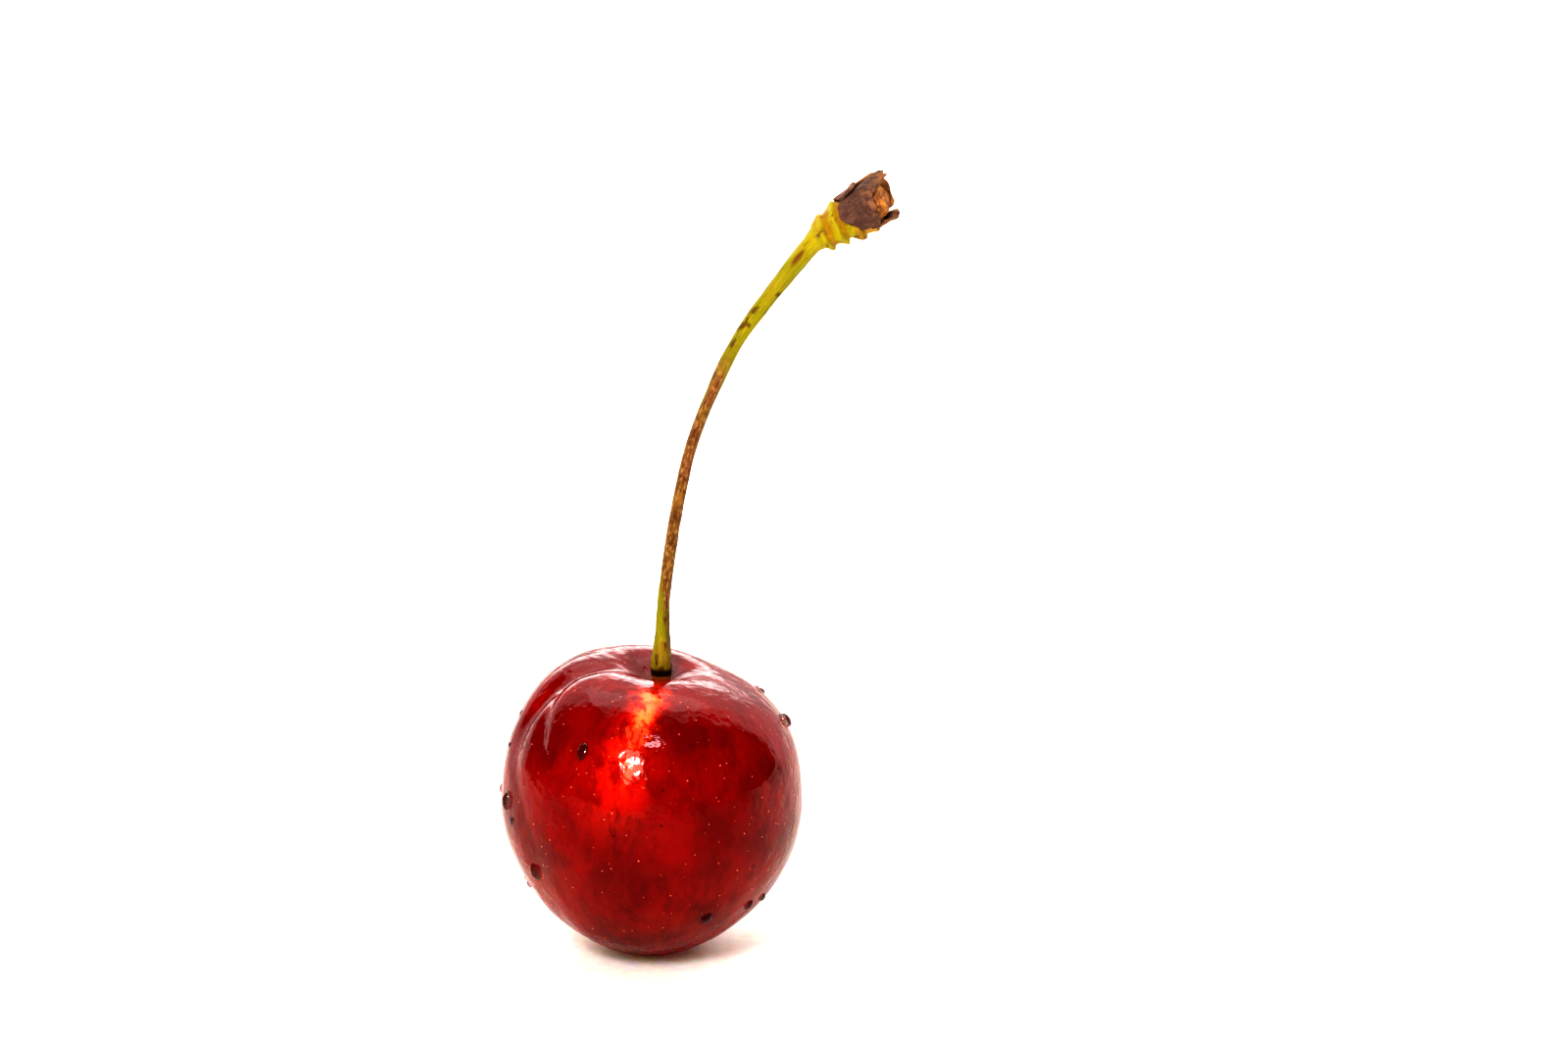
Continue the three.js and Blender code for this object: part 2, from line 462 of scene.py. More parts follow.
def nearness(tree, vector, point, radius):
    """1 within less than half the radius of a point, down to 0 at the radius."""
    distance = vector_maths(tree, "DISTANCE", vector, point).outputs["Value"]
    return span(tree, distance, radius, 0.4 * radius)


def cloud(tree, vector, scale, detail=2.0, roughness=0.5, distortion=0.0):
    """Noise from about 0.25 to 0.75."""
    return add(tree, "ShaderNodeTexNoise", vector=vector, scale=scale, detail=detail,
               roughness=roughness, distortion=distortion).outputs[0]


def attribute(tree, name, output="Fac"):
    """What the mesh stores at each point under a name."""
    node = tree.nodes.new("ShaderNodeAttribute")
    node.attribute_name = name
    return node.outputs[output]


def in_millimetres(tree):
    """The piece's own coordinates, in millimetres."""
    place = tree.nodes.new("ShaderNodeTexCoord")
    return stretched(tree, place.outputs["Object"], (1 / MM, 1 / MM, 1 / MM))


def bumps(tree, layers):
    """Stacks bump nodes. Each layer is a height, 0 to 1, and the depth in millimetres of 1."""
    below = {}
    for height, depth in layers:
        node = add(tree, "ShaderNodeBump", strength=1.0, distance=depth * MM, height=height,
                   **below)
        below = {"normal": node.outputs[0]}
    return node.outputs[0]


def finish_surface(material, **inputs):
    """Ends a material in one Principled surface with these inputs."""
    tree = material.node_tree
    surface = add(tree, "ShaderNodeBsdfPrincipled", **inputs)
    output = tree.nodes.new("ShaderNodeOutputMaterial")
    tree.links.new(surface.outputs[0], output.inputs["Surface"])
    return material


def new_group(name, inputs, outputs):
    """A node group with named inputs (kind and first value) and outputs (kind)."""
    group = bpy.data.node_groups.new(name, "ShaderNodeTree")
    for label, (kind, value) in inputs.items():
        socket = group.interface.new_socket(label, in_out="INPUT", socket_type=kind)
        if value is not None:
            socket.default_value = value
    for label, kind in outputs.items():
        group.interface.new_socket(label, in_out="OUTPUT", socket_type=kind)
    return group, group.nodes.new("NodeGroupInput"), group.nodes.new("NodeGroupOutput")


def make_spots_group():
    """Scattered round spots: a share of the cells of a random grid holds one, of mixed sizes."""
    group, given, out = new_group(
        "scattered_spots",
        {
            "Vector": ("NodeSocketVector", None),
            "Spacing": ("NodeSocketFloat", 1.0),
            "Radius": ("NodeSocketFloat", 0.1),
            "Share": ("NodeSocketFloat", 0.5),
        },
        {"Mask": "NodeSocketFloat"},
    )
    density = maths(group, "DIVIDE", 1.0, given.outputs["Spacing"])
    cells = add(group, "ShaderNodeTexVoronoi", vector=given.outputs["Vector"], scale=density)
    distance = maths(group, "MULTIPLY", cells.outputs["Distance"], given.outputs["Spacing"])
    colour = add(group, "ShaderNodeSeparateColor", color=cells.outputs["Color"])
    size = maths(group, "MULTIPLY_ADD", colour.outputs["Red"], 0.8, 0.5)
    size = maths(group, "MULTIPLY", size, given.outputs["Radius"])
    round_spot = span(group, maths(group, "DIVIDE", distance, size), 1.0, 0.55)
    present = maths(group, "LESS_THAN", colour.outputs["Green"], given.outputs["Share"])
    mask = maths(group, "MULTIPLY", round_spot, present)
    group.links.new(mask, out.inputs["Mask"])
    return group


def make_streaks_group():
    """Fibre streaks that run along Z, from 0 to 1, coarse and fine together."""
    group, given, out = new_group(
        "fibre_streaks",
        {
            "Vector": ("NodeSocketVector", None),
            "Across": ("NodeSocketFloat", 3.0),
            "Along": ("NodeSocketFloat", 0.3),
        },
        {"Streaks": "NodeSocketFloat"},
    )
    scale = add(group, "ShaderNodeCombineXYZ", x=given.outputs["Across"],
                y=given.outputs["Across"], z=given.outputs["Along"])
    drawn_out = stretched(group, given.outputs["Vector"], scale.outputs[0])
    coarse = cloud(group, drawn_out, 1.0, detail=2.0)
    fine = cloud(group, drawn_out, 3.7, detail=3.0, roughness=0.6)
    both = maths(group, "MULTIPLY_ADD", fine, 0.45, maths(group, "MULTIPLY", coarse, 0.55))
    group.links.new(span(group, both, 0.3, 0.7), out.inputs["Streaks"])
    return group


def use_group(tree, group, **inputs):
    """Places a node group and gives its output."""
    node = tree.nodes.new("ShaderNodeGroup")
    node.node_tree = group
    for name, value in inputs.items():
        feed(tree, node.inputs[name], value)
    return node.outputs[0]


SPOTS = make_spots_group()
STREAKS = make_streaks_group()


# --- Materials ---------------------------------------------------------------

# Linear colours. A pair goes from the darker one to the lighter one.
SKIN_REDS = ((0.100, 0.0008, 0.0010), (0.168, 0.0014, 0.0011))
STIPPLE = (0.07, 0.0007, 0.0010)
RUSSET = (0.20, 0.022, 0.004)
# The next two are painted light: a red painted glow round the front highlight and an orange painted
# reflection of a warm light above it. Both also colour the unripe flush.
FLUSH_AND_PAINTED_GLOW_RED = (0.42, 0.012, 0.002)
FLUSH_AND_PAINTED_REFLECTION_ORANGE = (0.76, 0.24, 0.075)
PALE_DOT = (0.62, 0.18, 0.10)
DARK_SPECK = (0.02, 0.0005, 0.001)
FOLD_BOTTOM = (0.06, 0.001, 0.0015)
CAVITY_FLOOR = (0.10, 0.018, 0.004)
SCAR = (0.13, 0.05, 0.02)

STALK_GREENS = ((0.15, 0.15, 0.002), (0.31, 0.29, 0.003))
STALK_YELLOWS = ((0.20, 0.20, 0.002), (0.40, 0.34, 0.003))
STALK_BROWNS = ((0.075, 0.034, 0.010), (0.25, 0.135, 0.028))
STALK_RED = (0.20, 0.080, 0.042)
PALE_FLECK = (0.38, 0.24, 0.08)
DARK_FLECK = (0.045, 0.018, 0.007)
RUST = (0.07, 0.022, 0.004)
BRUISE = (0.11, 0.025, 0.003)
GROOVE = (0.26, 0.14, 0.002)
RING_LIP = (0.16, 0.07, 0.008)
ORANGE_END = (0.36, 0.18, 0.010)
DARK_FOOT = (0.012, 0.003, 0.002)
COLLAR = (0.26, 0.09, 0.012)

DARK_BROWNS = ((0.048, 0.026, 0.020), (0.120, 0.064, 0.043))
TANS = ((0.12, 0.055, 0.022), (0.32, 0.15, 0.040))
DRY_YELLOWS = ((0.28, 0.15, 0.020), (0.54, 0.36, 0.05))
SCALE_BLOTCH = (0.035, 0.016, 0.013)
SCALE_RIM = (0.30, 0.155, 0.06)
CORKS = ((0.16, 0.065, 0.026), (0.52, 0.25, 0.060))
WATER = (0.55, 0.42, 0.42)
FLOORS = ((0.88, 0.84, 0.78), (0.93, 0.90, 0.85))
FLOOR_MIRRORED = (0.10, 0.06, 0.04)


def make_skin():
    """Glossy red skin: mottled, with meridian streaks, pale dots and darker bruised patches."""
    material = new_material("cherry_skin")
    tree = material.node_tree
    place = in_millimetres(tree)
    meridian = attribute(tree, "meridian", "Vector")
    from_stalk = attribute(tree, "from_stalk")
    fold = attribute(tree, "fold_line")
    flush_and_painted_light_share = attribute(tree, "flush_and_painted_light")

    mottle = cloud(tree, place, 0.22, detail=3.0, roughness=0.5, distortion=0.3)
    colour = blend(tree, span(tree, mottle, 0.34, 0.66), *SKIN_REDS)

    stipple = cloud(tree, meridian, 1.5, detail=6.0, roughness=0.78)
    colour = tint(tree, span(tree, stipple, 0.48, 0.64), 0.55, STIPPLE, colour)
    russet = maths(tree, "MULTIPLY", span(tree, from_stalk, 0.42, 0.8),
                   span(tree, stipple, 0.5, 0.34))
    colour = tint(tree, russet, 0.35, RUSSET, colour)

    # Painted light: the streak mask paints a red glow round the front highlight and an orange
    # reflection of a warm light above it. On the back the same mask is an unripe flush.
    brush = cloud(tree, stretched(tree, place, (1.0, 1.0, 0.5)), 0.9, detail=4.0, roughness=0.65)
    flush_and_painted_light = maths(tree, "MULTIPLY", flush_and_painted_light_share, span(tree, brush, 0.36, 0.6, 0.3, 1.0))
    colour = blend(tree, span(tree, flush_and_painted_light, 0.0, 0.35, 0.0, 0.8), colour, FLUSH_AND_PAINTED_GLOW_RED)
    colour = blend(tree, span(tree, flush_and_painted_light, 0.25, 0.85, 0.0, 0.85), colour, FLUSH_AND_PAINTED_REFLECTION_ORANGE)

    dots = use_group(tree, SPOTS, Vector=place, Spacing=0.66, Radius=0.075, Share=0.9)
    colour = tint(tree, dots, 0.75, PALE_DOT, colour)
    specks = use_group(tree, SPOTS, Vector=place, Spacing=3.3, Radius=0.26, Share=0.4)
    colour = tint(tree, specks, 0.6, DARK_SPECK, colour)

    colour = tint(tree, fold, 0.6, FOLD_BOTTOM, colour)
    colour = blend(tree, span(tree, from_stalk, 0.055, 0.02), colour, CAVITY_FLOOR)
    scar = span(tree, from_stalk, 0.975, 0.985)
    colour = blend(tree, scar, colour, SCAR)

    gloss = cloud(tree, place, 0.9, detail=3.0)
    roughness = span(tree, gloss, 0.3, 0.7, 0.26, 0.38)
    roughness = maths(tree, "MAXIMUM", roughness, maths(tree, "MULTIPLY", scar, 0.7))

    unevenness = [
        (cloud(tree, place, 0.55, detail=2.0), 0.08),
        (cloud(tree, meridian, 1.6, detail=3.0, roughness=0.6), 0.008),
        (cloud(tree, place, 1.1, detail=1.0), 0.030),
        (cloud(tree, place, 2.1, detail=2.0), 0.018),
    ]
    coat_normal = bumps(tree, unevenness)
    normal = bumps(tree, [*unevenness, (dots, 0.012)])
    return finish_surface(
        material, base_color=colour, roughness=roughness, normal=normal, ior=1.42,
        specular_ior_level=0.0,
        subsurface_weight=0.2, subsurface_radius=(1.0, 0.12, 0.06), subsurface_scale=1.0 * MM,
        coat_weight=0.58, coat_roughness=0.04, coat_ior=1.4, coat_normal=coat_normal)


def make_stalk_skin():
    """Matt fibrous stalk: green-yellow ends, a red-brown middle in streaks, and rusty spots."""
    material = new_material("stalk_skin")
    tree = material.node_tree
    place = attribute(tree, "stalk_place", "Vector")
    along = attribute(tree, "along")
    ridge = attribute(tree, "ridge")
    streaks = use_group(tree, STREAKS, Vector=place, Across=1.6, Along=0.22)
    patches = cloud(tree, stretched(tree, place, (1.0, 1.0, 0.35)), 0.9, detail=3.0)

    axes = add(tree, "ShaderNodeSeparateXYZ", vector=place)
    upper_side = maths(tree, "MULTIPLY", axes.outputs["X"], 7.0)
    green = blend(tree, streaks, *STALK_GREENS)
    yellow = blend(tree, patches, *STALK_YELLOWS)
    tone = blend(tree, span(tree, along, 37.0, 41.0), green, yellow)
    brown = blend(tree, streaks, *STALK_BROWNS)
    middle = maths(tree, "MULTIPLY", span(tree, along, 12.0, 20.0), span(tree, along, 31.0, 26.0))
    reddened = maths(tree, "MULTIPLY", middle, span(tree, patches, 0.35, 0.6))
    brown = tint(tree, reddened, 0.5, STALK_RED, brown)
    flecks = cloud(tree, stretched(tree, place, (1.0, 1.0, 0.4)), 5.5, detail=2.0)
    brown = blend(tree, span(tree, flecks, 0.52, 0.66, 0.0, 0.6), brown, PALE_FLECK)
    brown = blend(tree, span(tree, flecks, 0.46, 0.34, 0.0, 0.6), brown, DARK_FLECK)

    above_green = maths(tree, "SUBTRACT", along, upper_side)
    browned = maths(tree, "MULTIPLY", span(tree, above_green, 2.5, 9.0),
                    span(tree, along, 33.0, 20.0))
    wander = maths(tree, "ADD", maths(tree, "MULTIPLY", streaks, 0.7), patches)
    mask = maths(tree, "ADD", maths(tree, "MULTIPLY", browned, 0.75), wander)
    colour = blend(tree, span(tree, mask, 0.85, 1.45), tone, brown)

    rust = cloud(tree, stretched(tree, place, (1.2, 1.2, 0.5)), 1.3, detail=3.0)
    rust = span(tree, rust, 0.575, 0.65)
    colour = tint(tree, rust, 0.75, RUST, colour)
    bruise = nearness(tree, stretched(tree, place, (1.6, 1.6, 0.4)), (0.35, 1.04, 15.42), 0.5)
    colour = tint(tree, bruise, 0.8, BRUISE, colour)
    knuckle = span(tree, along, 40.9, 41.4)
    grooves = maths(tree, "MULTIPLY", knuckle, span(tree, ridge, 0.22, 0.05))
    colour = tint(tree, grooves, 0.75, GROOVE, colour)
    lips = maths(tree, "MULTIPLY", knuckle, span(tree, ridge, 0.40, 0.56))
    colour = tint(tree, lips, 0.45, RING_LIP, colour)
    colour = tint(tree, span(tree, along, 43.3, 44.6), 0.7, ORANGE_END, colour)
    colour = blend(tree, span(tree, along, 1.3, 0.9), colour, DARK_FOOT)
    colour = blend(tree, span(tree, along, 0.6, 0.4), colour, COLLAR)

    fibres = use_group(tree, STREAKS, Vector=place, Across=4.5, Along=0.5)
    grain = cloud(tree, place, 7.0, detail=3.0)
    normal = bumps(tree, [(fibres, 0.07), (grain, 0.02)])
    roughness = span(tree, grain, 0.3, 0.7, 0.42, 0.62)
    return finish_surface(
        material, base_color=colour, roughness=roughness, normal=normal, ior=1.4,
        specular_ior_level=0.3,
        subsurface_weight=0.15, subsurface_radius=(1.0, 0.7, 0.2), subsurface_scale=0.4 * MM)


def make_dry_scale(name, dark, light, blotched):
    """A dead scale: brown fibres, darker blotches and a worn tan rim."""
    material = new_material(name)
    tree = material.node_tree
    place = attribute(tree, "stalk_place", "Vector")
    rim = attribute(tree, "rim")
    streaks = use_group(tree, STREAKS, Vector=place, Across=2.2, Along=0.7)
    colour = blend(tree, streaks, dark, light)
    blotch = cloud(tree, place, 1.5, detail=4.0, roughness=0.65)
    colour = tint(tree, span(tree, blotch, 0.46, 0.66), blotched, SCALE_BLOTCH, colour)
    worn = maths(tree, "MULTIPLY", span(tree, rim, 0.55, 1.0), span(tree, blotch, 0.66, 0.40))
    colour = tint(tree, worn, 0.42, SCALE_RIM, colour)
    grain = cloud(tree, place, 9.0, detail=4.0, roughness=0.7)
    normal = bumps(tree, [(streaks, 0.06), (grain, 0.025)])
    roughness = span(tree, grain, 0.3, 0.7, 0.6, 0.9)
    return finish_surface(material, base_color=colour, roughness=roughness, normal=normal, ior=1.45)


def make_cork():
    """Crumbly torn wood, pale at the fibres and nearly black in the pits."""
    material = new_material("torn_cork")
    tree = material.node_tree
    place = in_millimetres(tree)
    lumps = cloud(tree, place, 1.9, detail=5.0, roughness=0.7)
    colour = blend(tree, span(tree, lumps, 0.36, 0.64), *CORKS)
    normal = bumps(tree, [(lumps, 0.15), (cloud(tree, place, 9.0, detail=3.0), 0.03)])
    roughness = span(tree, lumps, 0.3, 0.7, 0.95, 0.75)
    return finish_surface(material, base_color=colour, roughness=roughness, normal=normal, ior=1.45)


def make_water():
    """Glass for the drops, tinted so that they look dark in the bright studio."""
    return finish_surface(
        new_material("clear_water"), base_color=WATER, roughness=0.0, ior=1.3,
        transmission_weight=1.0)


# --- Pieces --------------------------------------------------------------------


def put_in_scene(name, data):
    """A new object of a mesh, a light or a camera."""
    thing = bpy.data.objects.new(name, data)
    bpy.context.scene.collection.objects.link(thing)
    return thing


def mesh_of(name, bm, material):
    """The finished shape as a mesh with one material."""
    mesh = bpy.data.meshes.new(name)
    bm.to_mesh(mesh)
    bm.free()
    mesh.materials.append(material)
    return mesh


def finish_piece(name, bm, material, slot, *nodes):
    """Makes the shape an object that rides on the body and stands for its solids."""
    bmesh.ops.scale(bm, vec=Vector((MM, MM, MM)), verts=bm.verts)
    mesh = mesh_of(name, bm, material)
    mesh.shade_smooth()
    piece = put_in_scene(name, mesh)
    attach(piece, "root")
    if nodes:
        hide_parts(*nodes)
    return piece


def build_fruit(material):
    """The skin, with the values that its material's patterns follow."""
    bm = bmesh.new()
    bmesh.ops.create_icosphere(bm, subdivisions=FRUIT_SUBDIVISIONS, radius=1)
    from_stalk = bm.verts.layers.float.new("from_stalk")
    fold_line = bm.verts.layers.float.new("fold_line")
    flush_and_painted_light = bm.verts.layers.float.new("flush_and_painted_light")
    meridian = bm.verts.layers.float_vector.new("meridian")
    for vert in bm.verts:
        direction = vert.co.normalized()
        polar = math.acos(min(1, max(-1, direction.z)))
        turn = math.atan2(direction.y, direction.x)
        vert[from_stalk] = polar / math.pi
        closeness = bell(off_fold(polar, turn), FOLD_LINE_HALF_WIDTH)
        vert[fold_line] = closeness * (1 - ramp(polar, *FOLD_LINE_FADES))
        # the streak mask: painted reflection and painted glow round the front highlight, and unripe
        # flush
        vert[flush_and_painted_light] = flush_and_painted_light_strength(polar, turn)
        around = (math.cos(turn) * MERIDIAN_FINENESS, math.sin(turn) * MERIDIAN_FINENESS)
        vert[meridian] = Vector((*around, polar * MERIDIAN_FINENESS / 2))
        vert.co = skin_point(direction)
    return finish_piece("cherry_fruit", bm, material, "skin", "fruit")


def rolled_tube(sides, rings, start, end):
    """A closed tube of radius 1 along Z from start to end, with rings along it."""
    bm = bmesh.new()
    middle = Matrix.Translation((0, 0, (start + end) / 2))
    bmesh.ops.create_cone(bm, cap_ends=True, cap_tris=False, segments=sides, radius1=1,
                          radius2=1, depth=end - start, matrix=middle)
    sides_only = [e for e in bm.edges if abs(e.verts[0].co.z - e.verts[1].co.z) > 0.1]
    bmesh.ops.subdivide_edges(bm, edges=sides_only, cuts=rings, use_grid_fill=True)
    return bm


def build_stalk(material):
    """The stalk with its knuckle, and the values that its material's patterns follow."""
    bm = rolled_tube(STALK_SIDES, STALK_RINGS, STALK_START, STALK_END)
    along_layer = bm.verts.layers.float.new("along")
    place_layer = bm.verts.layers.float_vector.new("stalk_place")
    ridge_layer = bm.verts.layers.float.new("ridge")
    for vert in bm.verts:
        along = vert.co.z
        angle = math.atan2(vert.co.y, vert.co.x)
        radius = stalk_radius(along, angle)
        vert[along_layer] = max(0, along)
        vert[ridge_layer] = ring_rise(along, angle)
        vert[place_layer] = Vector((math.cos(angle) * radius, math.sin(angle) * radius, along))
        vert.co = beside_stalk(along, radius, angle)
    return finish_piece("cherry_stalk", bm, material, "stalk", "stalk")


def build_cork(material):
    """A crumbly plug with a sloping torn face that fills the mouth of the scales."""
    bm = bmesh.new()
    bmesh.ops.create_icosphere(bm, subdivisions=CORK_SUBDIVISIONS, radius=1)
    for vert in bm.verts:
        direction = vert.co.normalized()
        angle = math.atan2(direction.y, direction.x)
        size = 1 + sum(height * noise.noise(direction * fine) for fine, height in CORK_LUMPS)
        side = math.hypot(direction.x, direction.y)
        end = CORK_END + CORK_SLOPE * math.cos(angle - CORK_FAR_SIDE) * side
        along = lerp(CORK_START, end, 0.5 + 0.5 * direction.z * size)
        mouth = ramp(along, *CORK_MOUTH) * (0.5 + 0.5 * math.cos(angle - CORK_MOUTH_SIDE))
        out = (CORK_RADIUS + CORK_MOUTH_WIDENING * mouth) * side**0.4 * size
        vert.co = beside_stalk(along, out, angle)
    return finish_piece("torn_end", bm, material, "cork", "corky_end")


def scale_place(scale, u, v, seed):
    """Along, out and turn of a scale's point: u goes across it from -1 to 1, v along it."""
    wave = ripple(v * 2.2, seed, u * 0.6)
    narrowing = 1 - scale.narrowing * v**2.4 + 0.10 * wave
    rounding = (1 - 0.10 * abs(u) ** 3) * (1 - 0.10 * abs(v - 0.5) * abs(u) ** 2)
    turn = math.radians(scale.angle + scale.twist * v + u * scale.half * narrowing)
    ragged = 0.30 * ripple(u * 2.1, seed + 5) + 0.06 * ripple(u * 6.5, seed + 7)
    start = scale.start + 0.55 * ripple(u * 1.7, seed + 2) + 0.25 * u * u
    end = scale.end + scale.slant * u + ragged
    along = lerp(start, end, v * rounding)
    crease = 0.20 * ripple(u * 1.9, v * 1.5, seed + 9) + 0.03 * ripple(u * 5.0, v * 3.0, seed + 3)
    lap = 0.10 * u  # one edge lies over the next scale
    out = lerp(scale.base, scale.tip, v**1.5) + crease * (0.3 + v) + lap
    out += scale.flare * abs(u) ** 3 * v
    return along, out, turn


def build_scale(node, scale, material, seed):
    """A thin wrinkled plate bent round the stalk, with a wavy rim."""
    bm = bmesh.new()
    bmesh.ops.create_grid(bm, x_segments=SCALE_GRID, y_segments=SCALE_GRID, size=1)
    place_layer = bm.verts.layers.float_vector.new("stalk_place")
    rim_layer = bm.verts.layers.float.new("rim")
    for vert in bm.verts:
        u, v = vert.co.x, (vert.co.y + 1) / 2
        along, out, turn = scale_place(scale, u, v, seed)
        vert[place_layer] = Vector((math.cos(turn) * out, math.sin(turn) * out, along))
        vert[rim_layer] = max(abs(u) * (0.4 + 0.6 * v), v)
        vert.co = beside_stalk(along, out, turn)
    bmesh.ops.recalc_face_normals(bm, faces=bm.faces)
    piece = finish_piece(f"dry_{node}", bm, material, "scale", node)
    thickness = piece.modifiers.new("thickness", "SOLIDIFY")
    thickness.thickness = SCALE_THICKNESS * MM
    thickness.offset = 0
    smoothing = piece.modifiers.new("smoothing", "SUBSURF")
    smoothing.levels = smoothing.render_levels = 1
    return piece


# Drops on the skin: angle down from the stalk end, turn from +X, radius, height and how much
# longer than wide they hang.
DROPS = [
    (86, 203, 0.55, 0.50, 1.55),
    (110, 219, 0.50, 0.42, 1.5),
    (57, 4, 0.62, 0.50, 1.2),
    (49, 26, 0.34, 0.24, 1.1),
    (122, 322, 0.42, 0.28, 1.3),
    (121, 332, 0.34, 0.26, 1.1),
    (123, 298, 0.45, 0.28, 1.4),
    (59, 242, 0.48, 0.22, 1.5),
    (92, 208, 0.26, 0.20, 1.1),
]
SPARE_DROPS = 16  # small ones scattered over the sides and back that the list leaves bare
SPARE_DOWN = (40, 125)  # the span of each of their measures
SPARE_TURN = (20, 195)
SPARE_RADIUS = (0.18, 0.5)
SPARE_HEIGHT = (0.45, 0.7)  # as a share of the radius
SPARE_LENGTH = (1.0, 1.5)
DROP_SEED = 11
DROP_SUBDIVISIONS = 4


def direction_of(polar, turn):
    """A unit direction from an angle down from the stalk end and a turn from +X."""
    flat = math.sin(polar)
    return Vector((flat * math.cos(turn), flat * math.sin(turn), math.cos(polar)))


def skin_normal(polar, turn):
    """Which way the skin faces, from four points beside the place."""
    step = 0.02
    above, below = (skin_point(direction_of(polar + off, turn)) for off in (-step, step))
    before, after = (skin_point(direction_of(polar, turn + off)) for off in (-step, step))
    return (below - above).cross(after - before).normalized()


def build_drops(material):
    """All the drops, as one piece of closed beads sunk half into the skin."""
    rng = random.Random(DROP_SEED)
    drops = list(DROPS)
    for _ in range(SPARE_DROPS):
        radius = rng.uniform(*SPARE_RADIUS)
        drops.append((rng.uniform(*SPARE_DOWN), rng.uniform(*SPARE_TURN), radius,
                      radius * rng.uniform(*SPARE_HEIGHT), rng.uniform(*SPARE_LENGTH)))
    bm = bmesh.new()
    for polar, turn, radius, height, length in drops:
        polar, turn = math.radians(polar), math.radians(turn)
        normal = skin_normal(polar, turn)
        stand = normal.to_track_quat("Z", "Y").to_matrix().to_4x4()
        size = Matrix.Diagonal((radius, radius * length, height, 1))
        place = Matrix.Translation(skin_point(direction_of(polar, turn)))
        bmesh.ops.create_icosphere(bm, subdivisions=DROP_SUBDIVISIONS, radius=1,
                                   matrix=place @ stand @ size)
    return finish_piece("water_drops", bm, material, "water")


# --- Stage -------------------------------------------------------------------

FLOOR_SIZE = 1.6
VIEW_TILT = math.radians(14)
VIEW_DISTANCE = 361.9
VIEW_RIGHT = 11.0  # the view's middle, right of the fruit's centre and up from its resting flat
VIEW_UP = 23.05
BACK_FLOOR = Vector((0, 0.42, 0))  # the stretch of floor that the skin's edges mirror
FRUIT_CENTRE = Vector((0, 0, CENTRE_HEIGHT)) * MM
WARM_WHITE = (1.0, 0.96, 0.93)
WHITE = (1.0, 0.98, 0.96)


def make_floor():
    """A pale floor that light soaks into, so that its shadows are soft and warm."""
    material = new_material("pale_floor")
    tree = material.node_tree
    place = in_millimetres(tree)
    grain = cloud(tree, place, 1.2, detail=3.0)
    colour = blend(tree, span(tree, grain, 0.3, 0.7), *FLOORS)
    # The skin mirrors the floor in front of it darker than it is.
    depth = add(tree, "ShaderNodeSeparateXYZ", vector=place).outputs["Y"]
    front = span(tree, depth, 10.0, -40.0, 0.0, 0.75)
    mirrored = tree.nodes.new("ShaderNodeLightPath").outputs["Is Glossy Ray"]
    colour = blend(tree, maths(tree, "MULTIPLY", front, mirrored), colour, FLOOR_MIRRORED)
    normal = bumps(tree, [(grain, 0.05)])
    finish_surface(
        material, base_color=colour, roughness=0.75, normal=normal, specular_ior_level=0.2,
        subsurface_weight=0.85, subsurface_radius=(1.0, 0.48, 0.24), subsurface_scale=7 * MM)
    bm = bmesh.new()
    bmesh.ops.create_grid(bm, x_segments=8, y_segments=8, size=FLOOR_SIZE / 2)
    floor = put_in_scene("floor", mesh_of("floor", bm, material))


def make_camera():
    """Looks down on the fruit from the front."""
    camera = put_in_scene("camera", bpy.data.cameras.new("camera"))
    camera.data.lens = 100
    camera.data.sensor_width = 36
    camera.data.clip_start = 0.01
    up = Vector((0, math.sin(VIEW_TILT), math.cos(VIEW_TILT)))
    back = Vector((0, -math.cos(VIEW_TILT), math.sin(VIEW_TILT)))
    aim = FRUIT_CENTRE + (Vector((VIEW_RIGHT, 0, 0)) + up * VIEW_UP) * MM
    camera.location = aim + back * VIEW_DISTANCE * MM
    camera.rotation_euler = back.to_track_quat("Z", "Y").to_euler()
    bpy.context.scene.camera = camera


def make_panel(name, towards, distance, width, height, watts, colour, aim=FRUIT_CENTRE):
    """A rectangular soft light that faces the aim from a given side. Gives the light."""
    lamp = bpy.data.lights.new(name, "AREA")
    lamp.shape = "RECTANGLE"
    lamp.size = width
    lamp.size_y = height
    lamp.energy = watts
    lamp.color = colour
    panel = put_in_scene(name, lamp)
    towards = Vector(towards).normalized()
    panel.location = aim + towards * distance
    panel.rotation_euler = towards.to_track_quat("Z", "Y").to_euler()
    return panel


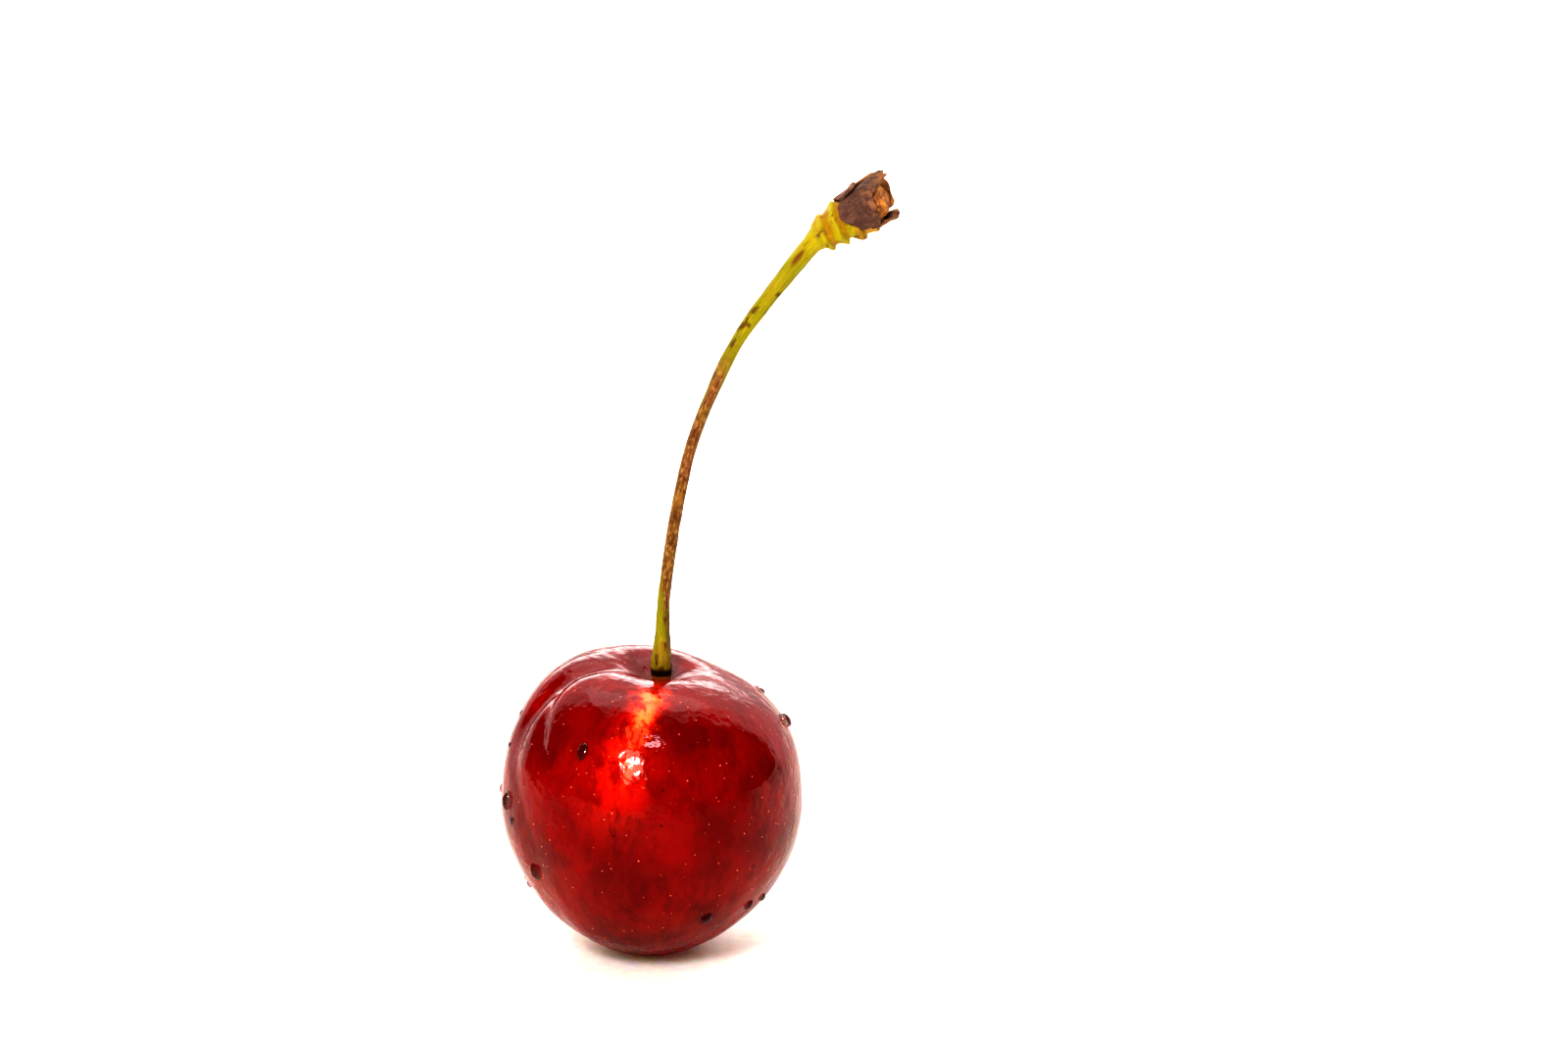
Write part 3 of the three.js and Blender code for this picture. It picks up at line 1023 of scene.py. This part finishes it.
def make_sky():
    """A white studio with a bright screen behind and dimness in front. The skin mirrors the
    screen with an edge, a bright band and more light high up."""
    world = bpy.data.worlds.new("studio")
    bpy.context.scene.world = world
    world.use_nodes = True
    tree = world.node_tree
    tree.nodes.clear()
    direction = tree.nodes.new("ShaderNodeTexCoord").outputs["Generated"]
    axes = add(tree, "ShaderNodeSeparateXYZ", vector=direction)
    aside = maths(tree, "MULTIPLY", maths(tree, "ABSOLUTE", axes.outputs["X"]), 0.5)
    behind = maths(tree, "SUBTRACT", axes.outputs["Y"], aside)
    screen = span(tree, axes.outputs["Y"], 0.2, 0.95, 1.0, 1.7)
    glow = maths(tree, "MULTIPLY_ADD", span(tree, behind, 0.04, 0.12), screen, 0.03)

    low = span(tree, axes.outputs["Y"], 0.6, 0.97, 0.1, -0.8)
    high = span(tree, axes.outputs["Z"], 0.25, 0.9, 0.0, 0.6)
    band = maths(tree, "MULTIPLY", span(tree, axes.outputs["Z"], 0.12, 0.26, 0.0, 4.2),
                 span(tree, axes.outputs["Z"], 0.62, 0.34))
    band = maths(tree, "MULTIPLY", band, span(tree, axes.outputs["Y"], 0.72, 0.88))
    band = maths(tree, "MULTIPLY", band, span(tree, axes.outputs["X"], 0.36, 0.12))
    edge = span(tree, behind, 0.05, 0.09)
    mirrored = maths(tree, "ADD", maths(tree, "ADD", low, high), band)
    mirrored = maths(tree, "MULTIPLY", edge, mirrored)
    path = tree.nodes.new("ShaderNodeLightPath")
    mirrored = maths(tree, "MULTIPLY", mirrored, path.outputs["Is Glossy Ray"])
    seen = maths(tree, "MULTIPLY", path.outputs["Is Camera Ray"], 1.5)
    strength = maths(tree, "ADD", maths(tree, "ADD", seen, mirrored), glow)
    sky = add(tree, "ShaderNodeBackground", color=(1.0, 0.985, 0.97), strength=strength)
    output = tree.nodes.new("ShaderNodeOutputWorld")
    tree.links.new(sky.outputs[0], output.inputs["Surface"])


make_camera()
make_floor()
make_sky()
# name, the side it stands on, distance, width and height in metres, watts and colour
make_panel("front_key", (-0.19, -0.78, 0.592), 0.4, 0.05, 0.07, 0.9, (1.0, 0.95, 0.92))
make_panel("key_glow", (-0.18, -0.79, 0.585), 0.42, 0.10, 0.19, 0.6, (1.0, 0.75, 0.62))
make_panel("small_glint", (0.089, -0.539, 0.839), 0.4, 0.045, 0.045, 0.16, (1.0, 0.7, 0.75))
make_panel("warm_strip", (-0.06, -0.40, 0.87), 0.4, 0.07, 0.14, 0.3, (1.0, 0.45, 0.15))
left = make_panel("left_fill", (-0.8, -0.5, 0.3), 0.5, 0.5, 0.5, 1.0, WARM_WHITE)
right = make_panel("right_fill", (0.85, -0.25, 0.5), 0.3, 0.25, 0.25, 0.18, WARM_WHITE)
make_panel("overhead", (0.0, 0.35, 1.0), 0.6, 0.6, 0.4, 1.1, WHITE)
wash = make_panel("back_wash", (0.0, 0.3, 1.0), 0.35, 1.2, 0.35, 3.2, WHITE, BACK_FLOOR)
for light in (left, right, wash):
    light.visible_glossy = False  # these only brighten, and the skin doesn't mirror them

build_fruit(make_skin())
build_stalk(make_stalk_skin())
build_cork(make_cork())
DARK_SCALE = make_dry_scale("dark_scale", *DARK_BROWNS, 0.6)
TAN_SCALE = make_dry_scale("tan_scale", *TANS, 0.5)
YELLOW_SCALE = make_dry_scale("yellow_scale", *DRY_YELLOWS, 0.15)
LIGHTER_ONES = {"bud_scale_4": YELLOW_SCALE, "bud_scale_6": TAN_SCALE}
for index, (node, scale) in enumerate(SCALES.items()):
    build_scale(node, scale, LIGHTER_ONES.get(node, DARK_SCALE), index * SCALE_SEED_STEP)
build_drops(make_water())

view_settings = bpy.context.scene.view_settings
view_settings.view_transform = "Standard"
view_settings.look = "Very High Contrast"
